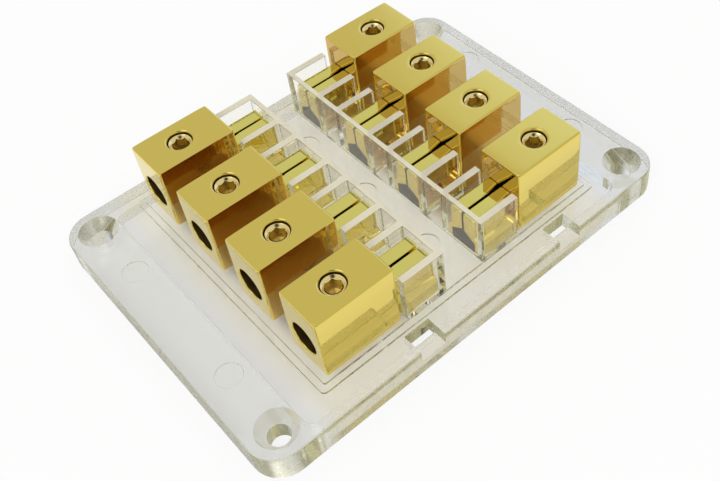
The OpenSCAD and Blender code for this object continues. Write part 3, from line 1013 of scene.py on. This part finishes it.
# %% [markdown]
# ## Clear base
# The base is one clear moulding: a plate, a low platform in two steps, and pockets that stand round the
# jaws. Every upper edge is rounded as a mould leaves it, because a clear edge shows as a bright and a dark
# line. Separate solids that only touch would be quicker, but light bends at every face that it meets and a
# face hidden inside would show, so they are joined into one closed skin.

# %% Plate and platform
PLATE = Vector((102.1, 74.7, 6.5))
PLATE_CORNER = 6.1
PLATE_EDGE = 0.5
PLATE_FOOT_EDGE = 0.15
PLATE_ARC = 8
PLATFORM = Vector((70.6, 64.0))
PLATFORM_CORNER = 1.0
PLATFORM_EDGE = 0.12
PLATFORM_STEP = Vector((1.3, 1.3, 0.5))
PLATFORM_OVERLAP = 0.5
STEP_OVERLAP = 0.3
SMALL_ARC = 4


def rectangle(size_x, size_y, middle=(0, 0)):
    """Corners of a rectangle, anticlockwise."""
    return [(middle[0] + sx * size_x / 2, middle[1] + sy * size_y / 2) for sx, sy in corner_signs]


def low_step(name, corners, corner, overlap, top):
    """One low step of the platform, which reaches down into the plate by an overlap."""
    bottom = PLATE.z - overlap
    return as_object(name, moulding(corners, bottom, top, corner, edge_high=PLATFORM_EDGE, steps=SMALL_ARC))


plate_edges = {"edge_low": PLATE_FOOT_EDGE, "edge_high": PLATE_EDGE, "steps": PLATE_ARC}
plate = moulding(rectangle(PLATE.x, PLATE.y), 0, PLATE.z, PLATE_CORNER, **plate_edges)
base = as_object("base_moulding", plate)
lower_corners = rectangle(PLATFORM.x, PLATFORM.y)
upper_corners = rectangle(PLATFORM.x - 2 * PLATFORM_STEP.x, PLATFORM.y - 2 * PLATFORM_STEP.y)
raised = [
    low_step("platform", lower_corners, PLATFORM_CORNER, PLATFORM_OVERLAP, SEAT_Z - PLATFORM_STEP.z),
    low_step("platform_step", upper_corners, PLATFORM_CORNER / 2, STEP_OVERLAP, SEAT_Z),
]
print("plate in mm:", [round(side / MM, 1) for side in base.dimensions])

# %% Pockets
POCKET_TOP = 18.6
POCKET_OUTER = 11.8
POCKET_EDGE = 0.1
POCKET_OVERLAP = 0.4
WALL_OUT = 4.7
WALL_IN = 5.8
RIB = 1.6
RIB_END = 14.4
RIB_CORNER = 0.14
INNER_CORNER = 0.2


def pocket_corners():
    """Comb-shaped outline of the right-hand row's pockets."""
    half_row = ((WAYS - 1) * WAY_PITCH + POCKET_OUTER) / 2
    corners = [(WALL_OUT, -half_row)]
    for way in range(1, WAYS + 1):
        low = way_y(way) - POCKET_OUTER / 2
        high = low + POCKET_OUTER
        if way > 1:
            corners.append((WALL_IN, low))
        corners += [(RIB_END, low), (RIB_END, low + RIB), (WALL_IN, low + RIB)]
        corners += [(WALL_IN, high - RIB), (RIB_END, high - RIB), (RIB_END, high)]
        if way < WAYS:
            corners.append((WALL_IN, high))
    return corners + [(WALL_OUT, half_row)]


comb_edges = {"inner_corner": INNER_CORNER, "edge_high": POCKET_EDGE, "steps": SMALL_ARC}
for side in ("left", "right"):
    comb = moulding(pocket_corners(), SEAT_Z - POCKET_OVERLAP, POCKET_TOP, RIB_CORNER, **comb_edges)
    comb.transform(at_way(side, (WAYS + 1) / 2))
    raised.append(as_object(f"pockets_{side}", comb))
combine(base, raised, "UNION")
print("base faces before the cuts:", len(base.data.polygons))

# %% [markdown]
# ## Cuts in the base
# The underside is hollow, the corner holes are countersunk, slots by the front and back edges are open to
# clips, and small holes take the supports' pegs and the fixing screws. Shallow round marks show where pins
# pushed the moulding out of its mould. All of these could be drawn into the plate's outlines, but one
# Boolean modifier per cut is simpler and keeps the skin closed. Cut faces in one plane would leave stray
# faces, so the two cuts of a slot overlap and differ by a small step.

# %% Hollow and corner holes
HOLLOW = Vector((80.7, 68.2, 2.9))
HOLLOW_CORNER = 2.0
HOLLOW_EDGE = 0.12
HOLLOW_ARC = 6
HOLE_X = PLATE.x / 2 - PLATE_CORNER
HOLE_Y = PLATE.y / 2 - PLATE_CORNER
HOLE_RADIUS = 2.2
SINK_RADIUS = 4.1
SINK_DEPTH = 2.5

hollow_corners = rectangle(HOLLOW.x, HOLLOW.y)
hollow = moulding(hollow_corners, -PAST, HOLLOW.z, HOLLOW_CORNER, edge_high=HOLLOW_EDGE, steps=HOLLOW_ARC)
cuts = [as_object("hollow_cut", hollow)]
sink = [(0, -PAST), (HOLE_RADIUS, -PAST), (HOLE_RADIUS, PLATE.z - SINK_DEPTH), (SINK_RADIUS, PLATE.z)]
sink += [(SINK_RADIUS, PLATE.z + PAST), (0, PLATE.z + PAST)]
for sx, sy in corner_signs:
    cuts.append(as_object("corner_cut", lathe(sink, shift(sx * HOLE_X, sy * HOLE_Y, 0))))
print("spacing of the corner holes in mm:", round(2 * HOLE_X, 1), round(2 * HOLE_Y, 1))

# %% Clip slots
CLIP_LENGTH = 5.9
CLIP_MIDDLES = (-14.15, 22.4)
CLIP_LIP = 3.7
CLIP_GAP = 0.5
CUT_STEP = 0.03
SLOT_CORNER = 0.12
SLOT_ARC = 3

slot_y = -PLATFORM.y / 2 - CLIP_GAP
rim_y = CUT_STEP - HOLLOW.y / 2
slot_middle = (slot_y + rim_y) / 2
front_y = -PLATE.y / 2 - PAST
for half_turn in (0, pi):
    for middle in CLIP_MIDDLES:
        through = rectangle(CLIP_LENGTH, slot_y - rim_y, (middle, slot_middle))
        lip_place = (middle, (slot_middle + front_y) / 2)
        lip = rectangle(CLIP_LENGTH - 2 * CUT_STEP, slot_middle - front_y, lip_place)
        for corners, bottom in ((through, -PAST), (lip, CLIP_LIP)):
            cut = moulding(corners, bottom, PLATE.z + PAST, SLOT_CORNER, steps=SLOT_ARC)
            cut.transform(Matrix.Rotation(half_turn, 4, "Z"))
            cuts.append(as_object("clip_cut", cut))
print("cuts so far:", len(cuts))

# %% Peg holes, screw holes and pin marks
FIXING_ROOM = 1.7
PEG_X = 10.625
PEG_RADIUS = 1.25
PEG_DEPTH = 2.05
PEG_SEGMENTS = 36
PIN_RADIUS = 2.7
PIN_DEPTH = 0.15
PIN_BEVEL = 0.1
PIN_SPACING = 19.6
PIN_SEGMENTS = 48

for side, way in PLACES:
    for x, radius, low in ((FIXING_X, FIXING_ROOM, 0), (PEG_X, PEG_RADIUS, SEAT_Z - PEG_DEPTH)):
        profile = [(0, low), (radius, low), (radius, SEAT_Z + PAST), (0, SEAT_Z + PAST)]
        hole_place = at_way(side, way) @ shift(x, 0, 0)
        cuts.append(as_object("pin_hole_cut", lathe(profile, hole_place, PEG_SEGMENTS)))
marks = [(sx * HOLE_X, sy * WAY_PITCH, PLATE.z) for sx, sy in corner_signs]
marks += [(0, place * PIN_SPACING, SEAT_Z) for place in (-1, 0, 1)]
mark = [(0, -PIN_DEPTH), (PIN_RADIUS - PIN_BEVEL, -PIN_DEPTH), (PIN_RADIUS, PIN_BEVEL - PIN_DEPTH)]
mark += [(PIN_RADIUS, PAST), (0, PAST)]
for place in marks:
    cuts.append(as_object("mark_cut", lathe(mark, shift(*place), PIN_SEGMENTS)))
print("cuts in the base:", len(cuts))
combine(base, cuts, "DIFFERENCE")
smooth(base, clear_plastic)

# %% Haze of the base
UPRIGHT = 0.95
RIB_FACING = 0.6
RIB_END_DEPTH = 0.2
PLATFORM_SKIN = 0.3


def from_corner_hole(middle):
    """Distance from the axis of the nearest corner hole."""
    return Vector((abs(middle.x) - HOLE_X, abs(middle.y) - HOLE_Y)).length


def in_corner_hole(middle, normal):
    """True in the corner holes."""
    return middle.z < PLATE.z - TOUCH and from_corner_hole(middle) < SINK_RADIUS


def is_pocket_top(middle, normal):
    """True on the narrow tops of the pockets."""
    return middle.z > POCKET_TOP - TOUCH


def is_edge(middle, normal):
    """True on the sides of the plate, the platform and the slots, and on the ends of the ribs."""
    outside_hollow = abs(middle.x) > HOLLOW.x / 2 + SKIN or abs(middle.y) > HOLLOW.y / 2 + SKIN
    past_x = abs(middle.x) > PLATFORM.x / 2 - PLATFORM_SKIN
    past_y = abs(middle.y) > PLATFORM.y / 2 - PLATFORM_SKIN
    upper_side = middle.z > HOLLOW.z + TOUCH and (past_x or past_y)
    is_side = abs(normal.z) < UPRIGHT and 0 < middle.z < SEAT_Z
    is_plate_side = is_side and (outside_hollow or upper_side) and from_corner_hole(middle) > SINK_RADIUS
    at_rib_end = middle.z > SEAT_Z and abs(middle.x) > RIB_END - RIB_END_DEPTH
    return is_plate_side or at_rib_end and abs(normal.x) > RIB_FACING


second_finish(base, hole_plastic, in_corner_hole)
second_finish(base, satin_plastic, is_pocket_top)
second_finish(base, edge_plastic, is_edge)
stand_in(base, "base", "block")
print("base faces:", len(base.data.polygons))

# %% [markdown]
# ## Supports and fixing screws
# The dark supports under the jaws and the fixing screws under the blocks are mostly hidden, and their plain
# solids already have the right shape. New meshes would add nothing that shows, so the solids stay as they
# are and get their own finish. A Displace modifier draws them in by a hair, so that there is air between
# them and the clear base, and light that runs along inside the plastic turns back at the plastic's face.

# %% Supports and fixing screws
CARRIED = {"jaw_support": dark_plastic, "fixing_screw": zinc}
HAIR = 0.03

for kind, finish in CARRIED.items():
    carried = [node for name, node in nodes.items() if name.startswith(kind)]
    for node in carried:
        node.data.materials.clear()
        node.data.materials.append(finish)
        room = node.modifiers.new("room", "DISPLACE")
        room.mid_level = 0
        room.strength = -HAIR * MM
    print(kind, "pieces in", finish.name + ":", len(carried))
